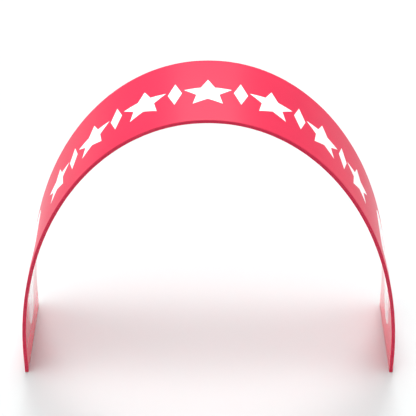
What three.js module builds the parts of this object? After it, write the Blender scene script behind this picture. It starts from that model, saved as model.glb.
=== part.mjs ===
// Archway banner stand: a stretch cloth cover of two sewn panels, pulled over a frame of bent square tube.
// Millimetres, +Z up. The passage runs along Y, the front is at -Y and the floor is z = 0.

import * as THREE from 'three';

// Driving dimensions
const HALF_SPAN = 1510; // from the middle of the passage to the middle of a leg
const LEG_HEIGHT = 166; // where the straight legs turn into the arch
const RISE = 2274; // from the top of the legs to the middle line at the crown
const FULLNESS = 2.04; // of the arch's shoulders, where 2 is an ellipse
const DEPTH = 890; // overall, front to back
const TUBE = 25; // outside of the square tube of the hoops and the foot bars
const TUBE_CORNER = 2.2; // radius of its corners
const SPREADER_TUBE = 19; // outside diameter of the round cross tubes
const CLOTH = 1.5; // thickness of the cover
const GAP = 0.3; // between pieces that touch
const SPREADER_PLACES = [0.167, 0.333, 0.5, 0.667, 0.833]; // shares of the arch's length

// Fineness of the faceted faces
const ARCH_STEPS = 72; // along the arch
const FACE_STEPS = 2; // across the flat of a panel
const CORNER_STEPS = 4; // round a corner of the cover or of a tube
const TUBE_SIDES = 16; // round a cross tube

// The tube, the lining of the cover and its outside turn each corner about one axis,
// so far from the middle of the tube
const CORNER_AXIS = TUBE / 2 - TUBE_CORNER;
const LINING_CORNER = TUBE_CORNER + GAP;
const COVER_CORNER = LINING_CORNER + CLOTH;
const COVER_HALF = CORNER_AXIS + COVER_CORNER;
const HOOP_Y = DEPTH / 2 - COVER_HALF;
const RIM_STEPS = CORNER_STEPS + 1; // a rim turns the corner, then runs flat to the seam

const { clamp, lerp } = THREE.MathUtils;

// Middle line of the arch, from the corner at the left foot over the crown to the corner at the right foot
class ArchLine extends THREE.Curve {
  constructor() {
    super();
    this.arcLengthDivisions = 2000;
    this.legShare = 0.05;
  }

  getPoint(t, target = new THREE.Vector3()) {
    const side = t < 0.5 ? -1 : 1;
    const fromFoot = 1 - Math.abs(2 * t - 1);
    if (fromFoot < this.legShare) {
      return target.set(side * HALF_SPAN, 0, lerp(COVER_CORNER, LEG_HEIGHT, fromFoot / this.legShare));
    }
    const turn = (fromFoot - this.legShare) / (1 - this.legShare) * Math.PI / 2;
    const x = HALF_SPAN * clamp(Math.cos(turn), 0, 1) ** (2 / FULLNESS);
    return target.set(side * x, 0, LEG_HEIGHT + RISE * Math.sin(turn) ** (2 / FULLNESS));
  }
}

const arch = new ArchLine();

// A grid line's place along a row: its share of the straight stretch, which end it is near,
// and how many lines it has gone past that end
function gridPlace(index, straightSteps) {
  const pastStart = RIM_STEPS - index;
  const pastEnd = index - RIM_STEPS - straightSteps;
  return {
    share: clamp(-pastStart / straightSteps, 0, 1),
    end: pastStart > pastEnd ? -1 : 1,
    past: Math.max(pastStart, pastEnd, 0),
  };
}

// One panel of the cover: a thin tray bent over the arch, its rims turned over the tubes as far as the seam.
// side is 1 for the panel on the outside of the arch and -1 for the one on the passage side.
function panelGeometry(side) {
  const rows = ARCH_STEPS + 2 * RIM_STEPS;
  const columns = FACE_STEPS + 2 * RIM_STEPS;
  const geometry = new THREE.BoxGeometry(rows, columns, 1, rows, columns, 1);
  const place = geometry.attributes.position;
  const vertex = new THREE.Vector3();
  for (let i = 0; i < place.count; i += 1) {
    vertex.fromBufferAttribute(place, i);
    const along = gridPlace(vertex.x + rows / 2, ARCH_STEPS);
    const across = gridPlace(vertex.y + columns / 2, FACE_STEPS);
    const corner = vertex.z > 0 ? COVER_CORNER : LINING_CORNER;

    // Way out from the corner's axis: up off the face, and over to the edge or the sole
    const past = Math.max(along.past, across.past);
    const tilt = Math.min(past / CORNER_STEPS, 1) * Math.PI / 2;
    const heading = Math.atan2(across.past, along.past);
    const down = corner * Math.sin(tilt) * Math.cos(heading);
    const out = corner * Math.sin(tilt) * Math.sin(heading);
    const lift = past < RIM_STEPS ? CORNER_AXIS + corner * Math.cos(tilt) : 0;

    const point = arch.getPointAt(along.share);
    const tangent = arch.getTangentAt(along.share);
    const normal = new THREE.Vector3(-tangent.z, 0, tangent.x);
    const faceEdge = HOOP_Y + CORNER_AXIS;
    point.addScaledVector(tangent, along.end * down);
    point.addScaledVector(normal, side * (GAP / 2 + lift));
    point.y = side * (lerp(-faceEdge, faceEdge, across.share) + across.end * out);
    place.setXYZ(i, point.x, point.y, point.z);
  }
  return geometry;
}

// Section of the square tube
function tubeSection() {
  const section = new THREE.Shape();
  for (let quarter = 0; quarter < 4; quarter += 1) {
    const start = quarter * Math.PI / 2;
    const x = quarter === 0 || quarter === 3 ? CORNER_AXIS : -CORNER_AXIS;
    const y = quarter < 2 ? CORNER_AXIS : -CORNER_AXIS;
    section.absarc(x, y, TUBE_CORNER, start, start + Math.PI / 2);
  }
  return section;
}

const curveSegments = CORNER_STEPS / 2; // an arc gets two pieces for each of them
const barLength = 2 * (HOOP_Y - TUBE / 2 - GAP); // between the hoops

// One hoop: square tube along the arch, down to the corner of the cover at each foot
const hoop = new THREE.ExtrudeGeometry(tubeSection(), { extrudePath: arch, steps: ARCH_STEPS, curveSegments });

// A foot bar: the same tube, lying on the sole of the cover
const footBar = new THREE.ExtrudeGeometry(tubeSection(), { depth: barLength, bevelEnabled: false, curveSegments })
  .translate(0, 0, -barLength / 2)
  .rotateX(Math.PI / 2);

// A spreader: round tube from hoop to hoop
const spreader = new THREE.CylinderGeometry(SPREADER_TUBE / 2, SPREADER_TUBE / 2, barLength, TUBE_SIDES);

const group = new THREE.Group();

function addPiece(parent, name, geometry, look) {
  const mesh = new THREE.Mesh(geometry, new THREE.MeshStandardMaterial(look));
  mesh.name = name;
  parent.add(mesh);
  return mesh;
}

const clothLook = { color: 0xf2405f, roughness: 0.6, metalness: 0 };
const tubeLook = { color: 0xb9bcc0, roughness: 0.35, metalness: 1 };

// Cover
const cover = new THREE.Group();
group.add(cover);
addPiece(cover, 'cover_outer', panelGeometry(1), clothLook);
addPiece(cover, 'cover_inner', panelGeometry(-1), clothLook);

// Frame
const frame = new THREE.Group();
group.add(frame);
addPiece(frame, 'hoop_front', hoop, tubeLook).position.y = -HOOP_Y;
addPiece(frame, 'hoop_back', hoop, tubeLook).position.y = HOOP_Y;
addPiece(frame, 'foot_bar_left', footBar, tubeLook).position.set(-HALF_SPAN, 0, COVER_HALF);
addPiece(frame, 'foot_bar_right', footBar, tubeLook).position.set(HALF_SPAN, 0, COVER_HALF);
SPREADER_PLACES.forEach((share, index) => {
  addPiece(frame, `spreader_${index + 1}`, spreader, tubeLook).position.copy(arch.getPointAt(share));
});

export default group;
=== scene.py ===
# Archway banner stand: printed stretch cloth, sewn from two panels, over a frame of bent square tube.
# Metres. The passage runs along Y, the front is at -Y and the floor is z = 0.
import math
from collections import namedtuple

import bmesh
import bpy
import numpy as np
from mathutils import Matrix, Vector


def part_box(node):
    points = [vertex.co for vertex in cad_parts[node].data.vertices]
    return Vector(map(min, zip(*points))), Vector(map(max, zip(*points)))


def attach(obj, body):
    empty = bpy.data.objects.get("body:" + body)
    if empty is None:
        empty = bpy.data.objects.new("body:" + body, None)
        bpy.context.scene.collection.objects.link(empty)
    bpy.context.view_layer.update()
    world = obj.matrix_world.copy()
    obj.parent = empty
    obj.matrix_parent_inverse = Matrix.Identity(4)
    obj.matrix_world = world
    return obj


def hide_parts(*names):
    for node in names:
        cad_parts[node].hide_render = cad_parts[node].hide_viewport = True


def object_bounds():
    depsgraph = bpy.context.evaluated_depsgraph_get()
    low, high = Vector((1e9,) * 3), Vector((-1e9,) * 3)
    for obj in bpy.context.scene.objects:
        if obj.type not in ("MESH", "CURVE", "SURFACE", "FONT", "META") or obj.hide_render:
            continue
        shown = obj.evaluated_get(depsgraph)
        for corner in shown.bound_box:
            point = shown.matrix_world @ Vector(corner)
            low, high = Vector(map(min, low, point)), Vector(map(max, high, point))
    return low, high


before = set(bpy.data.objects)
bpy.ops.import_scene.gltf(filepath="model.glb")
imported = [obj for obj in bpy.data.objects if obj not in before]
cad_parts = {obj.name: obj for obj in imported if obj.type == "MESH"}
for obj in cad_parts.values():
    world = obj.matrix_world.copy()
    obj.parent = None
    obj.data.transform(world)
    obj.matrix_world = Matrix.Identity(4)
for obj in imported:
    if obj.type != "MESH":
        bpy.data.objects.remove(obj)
cad_low, cad_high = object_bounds()
scene = bpy.context.scene

# The frame that the cloth is pulled over, as it was packed
hoop_low, hoop_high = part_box("hoop_front")
TUBE_HALF = (hoop_high.y - hoop_low.y) / 2
HOOP_Y = -(hoop_high.y + hoop_low.y) / 2
HALF_SPAN = hoop_high.x - TUBE_HALF
CROWN = hoop_high.z - TUBE_HALF
CORNER = hoop_low.z  # radius of the cover's corners: the hoops end where the cover turns under the foot
LEG_HEIGHT = 0.166  # where the straight legs turn into the arch
FULLNESS = 2.04  # of the arch's shoulders, where 2 is an ellipse
ARCH_SAMPLES = 4001
FRAME_NODES = [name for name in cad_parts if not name.startswith("cover")]

# The cut of the cloth
COVER_HALF = cad_high.y - HOOP_Y  # from the middle of a tube to the outside of the cover
CORNER_AXIS = COVER_HALF - CORNER  # from the middle of a tube to the axis of a corner
CORNER_TURN = CORNER * math.pi / 2
RIM = CORNER_TURN + CORNER_AXIS  # from the face over the corner to the seam
FACE_HALF_WIDTH = HOOP_Y + CORNER_AXIS
CLOTH = 0.0008
SEAM_HALF_GAP = 0.00015
SEAM_DEPTH = 0.0008  # how far the panels turn in where they are sewn together
SEAM_REACH = 0.0024
SEAM_CROWDING = 1.5  # draws the grid lines of the edge together towards the seam
CORNER_STEPS = 8
EDGE_STEPS = 7
FACE_STEPS = 40
ARCH_STEPS = 400

# The pull in the cloth
DRAW_IN = 0.0003  # the taut cloth is drawn towards the passage between the hoops
DRAW_FADE = 0.6  # length over which that ends towards the soles
SOFT_WAVE = 0.0002
Wave = namedtuple("Wave", "share along across start cross_along cross_across")
PULL_WAVES = (
    Wave(share=0.7, along=4.1, across=2.3, start=0.7, cross_along=-1.3, cross_across=6.7),
    Wave(share=0.3, along=9.3, across=-5.1, start=2.1, cross_along=3.7, cross_across=11.0),
)

# The print, by the place on the flat cut: along it from the crown, and across it from the middle
STAR_PITCH = 0.5
STAR_TIP = 0.19
STAR_ACROSS = -0.048
STAR_VALLEY_SHARE = 0.48  # of the reach of the tips
POINT_HALF_TURN = math.pi / 5  # from a tip of a star to the next valley
ROW_HALF = 1.75
LOZENGE_ALONG = 0.055
LOZENGE_ACROSS = 0.15
LOZENGE_MIDDLE = -0.03
BADGE_MIDDLE = 2.49
BADGE_HALF = 0.49  # half of its height
BADGE_STARS = 3
BADGE_STAR_PITCH = 0.29
INK_EDGE = 0.0012
WHITE_INK = (0.95, 0.95, 0.95, 1)
PINK_INK = (0.95, 0.70, 0.74, 1)

# The finish of the cloth
RED = (0.71, 0.0355, 0.0865)
# Painted light: the same cloth's red made lighter for the faces towards the passage
PAINTED_LIGHT_PASSAGE_RED = (0.96, 0.03, 0.09)
DYE_CLOUDS = 3.0
DYE_DEEP = 0.985
DYE_PALE = 1.015
RIB = 0.0016  # width of a rib of the knit
RIB_DEPTH = 0.0004
RIB_RELIEF = 0.12
# Painted shade in the valleys of the knit and painted light on its rib tops, as factors on the colour
RIB_VALLEY_PAINTED_SHADE = 0.94
RIB_TOP_PAINTED_LIGHT = 1.03
SEAM_SHADOW_FULL_TO = 0.0002  # the painted shadow along the seam is full up to here from the seam, and ends at the next
SEAM_SHADOW_END = 0.0016
SEAM_PAINTED_SHADOW = 0.7
NAP_CLOUDS = 14.0
NAP_SMOOTH = 0.44
NAP_ROUGH = 0.52
RIM_GLOSS = 0.2
FACE_FINISH = 1.3 * RIM  # distance from the seam at which the face's own red and gloss are reached; on the passage side that red is lighter, which is painted light
SHEEN_ROUGHNESS = 0.2
SHEEN_TINT = (1.0, 0.85, 0.87, 1)

# The tube, the floor, and the range that cloudy patterns mostly keep to
TUBE_DARK = (0.70, 0.71, 0.72, 1)
TUBE_PALE = (0.76, 0.77, 0.78, 1)
TUBE_CLOUDS = 9.0
TUBE_GRAIN = 900.0
TUBE_GRAIN_DETAIL = 3.0
TUBE_SMOOTH = 0.28
TUBE_ROUGH = 0.42
GRAIN_DEPTH = 0.0002
GRAIN_RELIEF = 0.05
FLOOR_TONE = (0.655, 0.69, 0.69, 1)
FLOOR_HALF = 40
CLOUD_LOW = 0.3
CLOUD_HIGH = 0.7

# The two panels: side is 1 outside the arch and -1 towards the passage, and row is 1 for stars on the crown.
# A badge's wide is half of its width, and its star is the reach of the tips of its stars.
Panel = namedtuple("Panel", "name side row badge face")
Badge = namedtuple("Badge", "wide corner star")
Face = namedtuple("Face", "dye gloss gloss_roughness sheen")
PANELS = (
    Panel(
        name="cover_outer", side=1, row=1.0,
        badge=Badge(wide=0.3, corner=0.1, star=0.145),
        face=Face(dye=RED, gloss=0.3, gloss_roughness=0.3, sheen=0.28),
    ),
    Panel(
        name="cover_inner", side=-1, row=0.0,
        badge=Badge(wide=0.17, corner=0.17, star=0.1),
        face=Face(dye=PAINTED_LIGHT_PASSAGE_RED, gloss=1.0, gloss_roughness=0.05, sheen=0.04),
    ),
)

# Light from all round: name, degrees round from +X, degrees above the floor, tightness, strength
LIGHTS = (
    ("even", 0, 90, 0, 0.311),
    ("overhead", 0, 90, 40, 6.2),
    ("overhead_core", 0, 90, 150, 14.1),
    ("back_high", 90, 62, 120, 6.6),
    ("back", 90, 50, 120, 19.0),
    ("back_right", 75, 50, 120, 7.8),
    ("back_left", 105, 50, 120, 5.9),
    ("back_low_right", 75, 35, 120, 3.3),
    ("back_low_left", 105, 35, 120, 3.7),
    ("right_low", 25, 4, 150, 8.0),
    ("left_low", 155, 4, 150, 12.5),
    ("left", 180, 12, 8, 0.75),
    ("left_front", 225, 45, 8, 0.86),
)

# A soft lamp behind the arch, which is mirrored in the front of the crown
LAMP_PLACE = (0, 2.0, 3.96)
LAMP_TILT = -58.4  # degrees
LAMP_WIDE = 1.6
LAMP_HIGH = 0.4
LAMP_WATTS = 4.8

CAMERA_PLACE = (0.066, -9.769, 8.216)
CAMERA_TURN = (54.909, 0.209, 0.261)  # degrees
CAMERA_LENS = 128.9
CAMERA_SENSOR = 36
CAMERA_REACH = 200


# Shapes

def arch_table():
    """Middle line from the crown to the floor at the right foot: length so far, x, z and heading."""
    turn = np.linspace(0, math.pi / 2, ARCH_SAMPLES)
    across = np.sin(turn) ** (2 / FULLNESS)
    up = np.clip(np.cos(turn), 0, 1) ** (2 / FULLNESS)
    rise = CROWN - LEG_HEIGHT
    x = np.append(HALF_SPAN * across, HALF_SPAN)
    z = np.append(LEG_HEIGHT + rise * up, 0)
    fall = rise * across ** (FULLNESS - 1)
    heading = np.append(-np.arctan2(fall, HALF_SPAN * up ** (FULLNESS - 1)), -math.pi / 2)
    length = np.append(0, np.cumsum(np.hypot(np.diff(x), np.diff(z))))
    return length, x, z, heading


ARCH = arch_table()
FACE_HALF_LENGTH = ARCH[0][-1] - CORNER


def arch_at(along):
    """Point and direction of the middle line at a length from the crown, negative to the left."""
    x, z, heading = (np.interp(abs(along), ARCH[0], row) for row in ARCH[1:])
    side = math.copysign(1, along)
    return side * x, z, math.cos(heading), side * math.sin(heading)


def cut_lines(face_half, face_steps):
    """Grid lines of the cut: place on the face, the end that is near, and distance past the face."""
    over_corner = CORNER_TURN * np.arange(1, CORNER_STEPS + 1) / CORNER_STEPS
    down_edge = RIM - CORNER_AXIS * (1 - np.arange(1, EDGE_STEPS + 1) / EDGE_STEPS) ** SEAM_CROWDING
    rim = np.concatenate([over_corner, down_edge])
    on_face = np.linspace(-face_half, face_half, face_steps + 1)
    on_face = np.concatenate([np.full(len(rim), -face_half), on_face, np.full(len(rim), face_half)])
    past = np.concatenate([rim[::-1], np.zeros(face_steps + 1), rim])
    return list(zip(on_face, np.sign(on_face), past))


def soft_waves(along, across):
    """Slight unevenness of the pull in the cloth, between about -1 and 1."""
    total = 0.0
    for wave in PULL_WAVES:
        ripple = math.sin(wave.along * along + wave.across * across + wave.start)
        ripple *= math.cos(wave.cross_along * along + wave.cross_across * across)
        total += wave.share * ripple
    return total


def panel_point(side, along, across):
    """Place in space and on the flat cut, and distance from the seam, of one crossing of the grid."""
    middle, end, past_end = along
    wide, end_across, past_side = across
    past = max(past_end, past_side)
    from_seam = RIM - past
    if past == 0:
        from_seam += min(FACE_HALF_WIDTH - abs(wide), FACE_HALF_LENGTH - abs(middle))

    # Over the corner, then flat to the seam, where the cloth turns in a little
    tilt = min(past / CORNER_TURN, 1) * math.pi / 2
    heading = math.atan2(past_side, past_end)
    reach = CORNER * math.sin(tilt) - SEAM_DEPTH * math.exp(-(from_seam / SEAM_REACH) ** 2)
    lift = SEAM_HALF_GAP + CORNER_AXIS + CORNER * math.cos(tilt) - max(past - CORNER_TURN, 0)

    loose = 1 - (wide / FACE_HALF_WIDTH) ** 2
    loose *= min(1, (FACE_HALF_LENGTH - abs(middle)) / DRAW_FADE)
    drawn = loose * (DRAW_IN + SOFT_WAVE * soft_waves(middle, wide + side))

    x, z, run_x, run_z = arch_at(middle)
    ahead = end * reach * math.cos(heading)
    height = side * lift - drawn
    place = (
        x + run_x * ahead - run_z * height,
        wide + end_across * reach * math.sin(heading),
        z + run_z * ahead + run_x * height,
    )
    flat = (wide + end_across * past_side, middle + end * past_end)
    return place, flat, from_seam


def cloth_panel(name, side):
    """One panel of the cover: a flat cut laid over the arch, its rims turned over the tubes to the seam."""
    lines_along = cut_lines(FACE_HALF_LENGTH, ARCH_STEPS)
    lines_across = cut_lines(FACE_HALF_WIDTH, FACE_STEPS)
    rows = len(lines_along) - 1
    columns = len(lines_across) - 1
    bm = bmesh.new()
    bmesh.ops.create_grid(bm, x_segments=columns, y_segments=rows, size=0.5)
    cut_map = bm.loops.layers.uv.new("cut")
    seam_layer = bm.verts.layers.float.new("seam")
    flat_of = {}
    for vert in bm.verts:
        row = round((vert.co.y + 0.5) * rows)
        column = round((vert.co.x + 0.5) * columns)
        place, flat_of[vert], vert[seam_layer] = panel_point(side, lines_along[row], lines_across[column])
        vert.co = place
    for face in bm.faces:
        face.smooth = True
        for loop in face.loops:
            loop[cut_map].uv = flat_of[loop.vert]
    if side > 0:
        bmesh.ops.reverse_faces(bm, faces=bm.faces[:])
    mesh = bpy.data.meshes.new(name)
    bm.to_mesh(mesh)
    bm.free()
    panel = bpy.data.objects.new(name, mesh)
    scene.collection.objects.link(panel)
    wall = panel.modifiers.new("cloth", "SOLIDIFY")
    wall.thickness = CLOTH
    wall.offset = -1
    return panel


def studio_floor():
    """The flat floor that the stand is shown on."""
    bm = bmesh.new()
    bmesh.ops.create_grid(bm, x_segments=4, y_segments=4, size=FLOOR_HALF)
    mesh = bpy.data.meshes.new("studio_floor")
    bm.to_mesh(mesh)
    bm.free()
    floor = bpy.data.objects.new("studio_floor", mesh)
    scene.collection.objects.link(floor)
    return floor


# Finishes

def feed(tree, socket, source):
    """Links a socket to the output of a node, or sets it to a value."""
    if isinstance(source, bpy.types.NodeSocket):
        tree.links.new(source, socket)
    else:
        socket.default_value = source


def sum_of(tree, operation, *sources):
    """Output of one Math node."""
    node = tree.nodes.new("ShaderNodeMath")
    node.operation = operation
    for socket, source in zip(node.inputs, sources):
        feed(tree, socket, source)
    return node.outputs["Value"]


def mapped(tree, value, low, high, to_low, to_high):
    """Output of one Map Range node, held inside its range."""
    node = tree.nodes.new("ShaderNodeMapRange")
    for label, source in (
        ("Value", value), ("From Min", low), ("From Max", high), ("To Min", to_low), ("To Max", to_high),
    ):
        feed(tree, node.inputs[label], source)
    return node.outputs["Result"]


# Places of the colour sockets on a Mix node, whose names are there for every kind of value
MIX_FIRST = 6
MIX_SECOND = 7
MIX_RESULT = 2


def colour_mix(tree, share, first, second, blend="MIX"):
    """Colour output of one Mix node."""
    node = tree.nodes.new("ShaderNodeMix")
    node.data_type = "RGBA"
    node.blend_type = blend
    feed(tree, node.inputs["Factor"], share)
    feed(tree, node.inputs[MIX_FIRST], first)
    feed(tree, node.inputs[MIX_SECOND], second)
    return node.outputs[MIX_RESULT]


def noise(tree, place, scale, detail=2.0):
    """Cloudy value round 0.5, with a scale in clouds to the metre."""
    node = tree.nodes.new("ShaderNodeTexNoise")
    feed(tree, node.inputs["Vector"], place)
    node.inputs["Scale"].default_value = scale
    node.inputs["Detail"].default_value = detail
    return node.outputs["Fac"]


def relief(tree, height, strength, distance, shader):
    """Gives a shader the small relief of a height from 0 to 1."""
    bump = tree.nodes.new("ShaderNodeBump")
    bump.inputs["Strength"].default_value = strength
    bump.inputs["Distance"].default_value = distance
    tree.links.new(height, bump.inputs["Height"])
    tree.links.new(bump.outputs["Normal"], shader.inputs["Normal"])


def finish_group(name, inputs, outputs):
    """An empty node group with its named sockets; gives the tree, what comes in and what goes out."""
    tree = bpy.data.node_groups.new(name, "ShaderNodeTree")
    for label, kind in inputs:
        tree.interface.new_socket(label, in_out="INPUT", socket_type=kind)
    for label, kind in outputs:
        tree.interface.new_socket(label, in_out="OUTPUT", socket_type=kind)
    start = tree.nodes.new("NodeGroupInput")
    end = tree.nodes.new("NodeGroupOutput")
    return tree, start.outputs, end.inputs


def placed(tree, group, **sources):
    """One use of a node group; the names of its sockets are written with _ for a space."""
    node = tree.nodes.new("ShaderNodeGroup")
    node.node_tree = group
    for label, source in sources.items():
        feed(tree, node.inputs[label.replace("_", " ")], source)
    return node.outputs


def star_group():
    """Five-pointed star round the origin, one point upwards."""
    tree, given, result = finish_group(
        "five_point_star",
        [(label, "NodeSocketFloat") for label in ("Up", "Sideways", "Tip", "Valley")],
        [("Mask", "NodeSocketFloat")],
    )
    turn = sum_of(tree, "ARCTAN2", given["Sideways"], given["Up"])
    fold = sum_of(tree, "PINGPONG", turn, POINT_HALF_TURN)
    square = sum_of(tree, "MULTIPLY", given["Up"], given["Up"])
    square = sum_of(tree, "MULTIPLY_ADD", given["Sideways"], given["Sideways"], square)
    reach = sum_of(tree, "SQRT", square)
    to_tip = sum_of(tree, "MULTIPLY", reach, sum_of(tree, "COSINE", fold))
    to_side = sum_of(tree, "MULTIPLY", reach, sum_of(tree, "SINE", fold))

    # Distance past the straight edge from a tip to the next valley
    valley_side = sum_of(tree, "MULTIPLY", given["Valley"], math.sin(POINT_HALF_TURN))
    valley_up = sum_of(tree, "MULTIPLY", given["Valley"], math.cos(POINT_HALF_TURN))
    edge_fall = sum_of(tree, "SUBTRACT", given["Tip"], valley_up)
    past_tip = sum_of(tree, "SUBTRACT", to_tip, given["Tip"])
    past = sum_of(tree, "MULTIPLY", past_tip, valley_side)
    past = sum_of(tree, "MULTIPLY_ADD", to_side, edge_fall, past)
    edge = sum_of(tree, "MULTIPLY", edge_fall, edge_fall)
    edge = sum_of(tree, "MULTIPLY_ADD", valley_side, valley_side, edge)
    past = sum_of(tree, "DIVIDE", past, sum_of(tree, "SQRT", edge))
    tree.links.new(mapped(tree, past, -INK_EDGE, INK_EDGE, 1, 0), result["Mask"])
    return tree


def print_group(star):
    """White and pink ink on the cover, by the place on the flat cut.
    Row is 1 where the crown carries its row of stars, and the rest gives the size of the badges."""
    sizes = ("Row", "Badge Wide", "Badge Corner", "Badge Star")
    tree, given, result = finish_group(
        "banner_print",
        [("Cut", "NodeSocketVector")] + [(label, "NodeSocketFloat") for label in sizes],
        [("White", "NodeSocketFloat"), ("Pink", "NodeSocketFloat")],
    )
    split = tree.nodes.new("ShaderNodeSeparateXYZ")
    tree.links.new(given["Cut"], split.inputs["Vector"])
    across = split.outputs["X"]
    along = split.outputs["Y"]
    far = sum_of(tree, "ABSOLUTE", along)

    # Stars over the crown, with a lozenge in each space between them
    cell = sum_of(tree, "WRAP", along, STAR_PITCH / 2, -STAR_PITCH / 2)
    up = sum_of(tree, "SUBTRACT", across, STAR_ACROSS)
    valley = STAR_TIP * STAR_VALLEY_SHARE
    stars = placed(tree, star, Up=up, Sideways=cell, Tip=STAR_TIP, Valley=valley)["Mask"]
    stars = sum_of(tree, "MULTIPLY", stars, sum_of(tree, "LESS_THAN", far, ROW_HALF))
    space = sum_of(tree, "WRAP", along, STAR_PITCH, 0)
    space = sum_of(tree, "ABSOLUTE", sum_of(tree, "SUBTRACT", space, STAR_PITCH / 2))
    tall = sum_of(tree, "ABSOLUTE", sum_of(tree, "SUBTRACT", across, LOZENGE_MIDDLE))
    lozenge = sum_of(tree, "DIVIDE", tall, LOZENGE_ACROSS)
    lozenge = sum_of(tree, "MULTIPLY_ADD", space, 1 / LOZENGE_ALONG, lozenge)
    soft = INK_EDGE / LOZENGE_ALONG
    lozenges = mapped(tree, lozenge, 1 - soft, 1 + soft, 1, 0)
    inner_row = sum_of(tree, "LESS_THAN", far, ROW_HALF - STAR_PITCH / 2)
    lozenges = sum_of(tree, "MULTIPLY", lozenges, inner_row)
    row = sum_of(tree, "MULTIPLY", sum_of(tree, "MAXIMUM", stars, lozenges), given["Row"])

    # A badge with round corners on each leg, with pale pink stars on the white
    climb = sum_of(tree, "SUBTRACT", BADGE_MIDDLE, far)
    past_top = sum_of(tree, "SUBTRACT", sum_of(tree, "ABSOLUTE", climb), BADGE_HALF)
    past_top = sum_of(tree, "MAXIMUM", sum_of(tree, "ADD", past_top, given["Badge Corner"]), 0.0)
    past_side = sum_of(tree, "SUBTRACT", sum_of(tree, "ABSOLUTE", across), given["Badge Wide"])
    past_side = sum_of(tree, "MAXIMUM", sum_of(tree, "ADD", past_side, given["Badge Corner"]), 0.0)
    square = sum_of(tree, "MULTIPLY", past_top, past_top)
    square = sum_of(tree, "MULTIPLY_ADD", past_side, past_side, square)
    past = sum_of(tree, "SUBTRACT", sum_of(tree, "SQRT", square), given["Badge Corner"])
    badge = mapped(tree, past, -INK_EDGE, INK_EDGE, 1, 0)
    cell = sum_of(tree, "WRAP", climb, BADGE_STAR_PITCH / 2, -BADGE_STAR_PITCH / 2)
    valley = sum_of(tree, "MULTIPLY", given["Badge Star"], STAR_VALLEY_SHARE)
    pink = placed(tree, star, Up=cell, Sideways=across, Tip=given["Badge Star"], Valley=valley)["Mask"]
    near = sum_of(tree, "LESS_THAN", sum_of(tree, "ABSOLUTE", climb), BADGE_STARS / 2 * BADGE_STAR_PITCH)
    tree.links.new(sum_of(tree, "MULTIPLY", pink, near), result["Pink"])
    tree.links.new(sum_of(tree, "MAXIMUM", row, badge), result["White"])
    return tree


def knit_group():
    """Fine knit: upright ribs of slanting stitches, as a height from 0 to 1."""
    tree, given, result = finish_group(
        "fine_knit",
        [("Cut", "NodeSocketVector"), ("Rib", "NodeSocketFloat")],
        [("Height", "NodeSocketFloat")],
    )
    split = tree.nodes.new("ShaderNodeSeparateXYZ")
    tree.links.new(given["Cut"], split.inputs["Vector"])
    half_rib = sum_of(tree, "MULTIPLY", given["Rib"], 0.5)
    rib = sum_of(tree, "PINGPONG", split.outputs["X"], half_rib)
    slant = sum_of(tree, "ADD", split.outputs["Y"], rib)
    stitch = sum_of(tree, "PINGPONG", slant, half_rib)
    both = sum_of(tree, "ADD", rib, stitch)
    tree.links.new(sum_of(tree, "DIVIDE", both, given["Rib"]), result["Height"])
    return tree


def new_finish(name):
    """A material with its shader; gives the material, its tree and the shader."""
    material = bpy.data.materials.new(name)
    material.use_nodes = True
    tree = material.node_tree
    return material, tree, tree.nodes["Principled BSDF"]


def cover_cloth(panel, banner_print, knit):
    """Printed stretch knit: red, with white and pink ink. The face and the rims differ in gloss, and on the
    passage side the face's red is lighter, which is painted light. The knit and the seam carry painted
    shade.
    """
    material, tree, shader = new_finish(panel.name + "_cloth")
    cut = tree.nodes.new("ShaderNodeUVMap")
    cut.uv_map = "cut"
    cut_place = cut.outputs["UV"]
    seam = tree.nodes.new("ShaderNodeAttribute")
    seam.attribute_name = "seam"
    from_seam = seam.outputs["Fac"]
    place = tree.nodes.new("ShaderNodeTexCoord").outputs["Object"]

    badge = panel.badge
    ink = placed(
        tree, banner_print, Cut=cut_place, Row=panel.row,
        Badge_Wide=badge.wide, Badge_Corner=badge.corner, Badge_Star=badge.star,
    )
    stitches = placed(tree, knit, Cut=cut_place, Rib=RIB)["Height"]
    on_face = mapped(tree, from_seam, RIM, FACE_FINISH, 0, 1)
    uneven = mapped(tree, noise(tree, place, DYE_CLOUDS), CLOUD_LOW, CLOUD_HIGH, DYE_DEEP, DYE_PALE)
    # The faces towards the passage get a lighter red than the rims, which is painted light
    dye = colour_mix(tree, on_face, (*RED, 1), (*panel.face.dye, 1))
    dye = colour_mix(tree, 1.0, dye, uneven, "MULTIPLY")
    colour = colour_mix(tree, ink["White"], dye, colour_mix(tree, ink["Pink"], WHITE_INK, PINK_INK))
    # Painted shade in the knit's valleys and painted light on its rib tops, times a painted shadow along the
    # seam
    painted_shade = mapped(tree, stitches, 0, 1, RIB_VALLEY_PAINTED_SHADE, RIB_TOP_PAINTED_LIGHT)
    # Painted shadow in the seam, where the panels turn in
    seam_shadow = mapped(tree, from_seam, SEAM_SHADOW_FULL_TO, SEAM_SHADOW_END, SEAM_PAINTED_SHADOW, 1)
    painted_shade = sum_of(tree, "MULTIPLY", painted_shade, seam_shadow)
    colour = colour_mix(tree, 1.0, colour, painted_shade, "MULTIPLY")
    tree.links.new(colour, shader.inputs["Base Color"])

    rough = mapped(tree, noise(tree, place, NAP_CLOUDS), CLOUD_LOW, CLOUD_HIGH, NAP_SMOOTH, NAP_ROUGH)
    tree.links.new(rough, shader.inputs["Roughness"])
    shader.inputs["Specular IOR Level"].default_value = 0.0
    gloss = mapped(tree, on_face, 0, 1, RIM_GLOSS, panel.face.gloss)
    tree.links.new(gloss, shader.inputs["Coat Weight"])
    shader.inputs["Coat Roughness"].default_value = panel.face.gloss_roughness
    shader.inputs["Sheen Weight"].default_value = panel.face.sheen
    shader.inputs["Sheen Roughness"].default_value = SHEEN_ROUGHNESS
    shader.inputs["Sheen Tint"].default_value = SHEEN_TINT
    relief(tree, stitches, RIB_RELIEF, RIB_DEPTH, shader)
    return material


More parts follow.
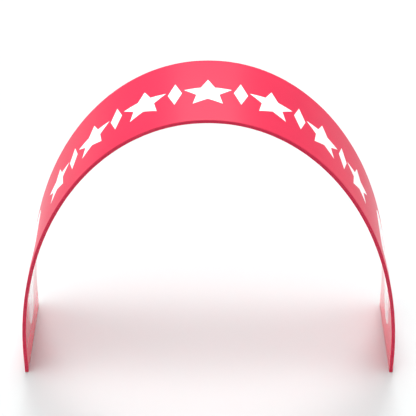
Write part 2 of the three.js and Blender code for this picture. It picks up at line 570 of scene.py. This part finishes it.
def frame_tube():
    """Satin aluminium, with the fine uneven sheen of drawn tube."""
    material, tree, shader = new_finish("frame_tube")
    place = tree.nodes.new("ShaderNodeTexCoord").outputs["Object"]
    cloud = noise(tree, place, TUBE_CLOUDS)
    grain = noise(tree, place, TUBE_GRAIN, TUBE_GRAIN_DETAIL)
    tree.links.new(colour_mix(tree, cloud, TUBE_DARK, TUBE_PALE), shader.inputs["Base Color"])
    both = sum_of(tree, "ADD", cloud, grain)
    rough = mapped(tree, both, 2 * CLOUD_LOW, 2 * CLOUD_HIGH, TUBE_SMOOTH, TUBE_ROUGH)
    tree.links.new(rough, shader.inputs["Roughness"])
    shader.inputs["Metallic"].default_value = 1.0
    relief(tree, grain, GRAIN_RELIEF, GRAIN_DEPTH, shader)
    return material


def pale_floor():
    """Matt and plain."""
    material, tree, shader = new_finish("pale_floor")
    shader.inputs["Base Color"].default_value = FLOOR_TONE
    shader.inputs["Roughness"].default_value = 1.0
    shader.inputs["Specular IOR Level"].default_value = 0.0
    return material


# Light and view

def studio_light():
    """Soft light from all round, stronger from some sides."""
    world = bpy.data.worlds.new("studio_light")
    scene.world = world
    world.use_nodes = True
    tree = world.node_tree
    way = tree.nodes.new("ShaderNodeTexCoord").outputs["Generated"]
    total = 0.0
    for name, compass, height, tightness, strength in LIGHTS:
        around = math.radians(compass)
        above = math.radians(height)
        facing = tree.nodes.new("ShaderNodeVectorMath")
        facing.operation = "DOT_PRODUCT"
        tree.links.new(way, facing.inputs[0])
        facing.inputs[1].default_value = (
            math.cos(above) * math.cos(around), math.cos(above) * math.sin(around), math.sin(above),
        )
        lit = sum_of(tree, "POWER", sum_of(tree, "MAXIMUM", facing.outputs["Value"], 0.0), tightness)
        lit = sum_of(tree, "MULTIPLY", lit, strength)
        lit.node.name = name
        total = sum_of(tree, "ADD", lit, total)
    tree.links.new(total, tree.nodes["Background"].inputs["Strength"])
    tree.nodes["Background"].inputs["Color"].default_value = (1, 1, 1, 1)


def crown_lamp():
    """The soft lamp behind the arch."""
    lamp = bpy.data.lights.new("crown_lamp", "AREA")
    lamp.shape = "RECTANGLE"
    lamp.size = LAMP_WIDE
    lamp.size_y = LAMP_HIGH
    lamp.energy = LAMP_WATTS
    holder = bpy.data.objects.new("crown_lamp", lamp)
    scene.collection.objects.link(holder)
    holder.location = LAMP_PLACE
    holder.rotation_euler.x = math.radians(LAMP_TILT)
    holder.visible_camera = False


def photo_camera():
    """The camera at the photograph's viewing angle."""
    camera = bpy.data.objects.new("camera", bpy.data.cameras.new("camera"))
    scene.collection.objects.link(camera)
    camera.location = CAMERA_PLACE
    camera.rotation_euler = [math.radians(angle) for angle in CAMERA_TURN]
    camera.data.lens = CAMERA_LENS
    camera.data.sensor_width = CAMERA_SENSOR
    camera.data.clip_end = CAMERA_REACH
    scene.camera = camera


# The stand

star = star_group()
banner_print = print_group(star)
knit = knit_group()

for panel in PANELS:
    cloth = cloth_panel(panel.name.replace("cover", "panel"), panel.side)
    cloth.data.materials.append(cover_cloth(panel, banner_print, knit))
    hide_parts(panel.name)
    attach(cloth, "root")

tube_finish = frame_tube()
for name in FRAME_NODES:
    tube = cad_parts[name]
    for slot in tube.material_slots:
        slot.material = tube_finish

floor = studio_floor()
floor.data.materials.append(pale_floor())
studio_light()
crown_lamp()
photo_camera()
scene.view_settings.view_transform = "Standard"
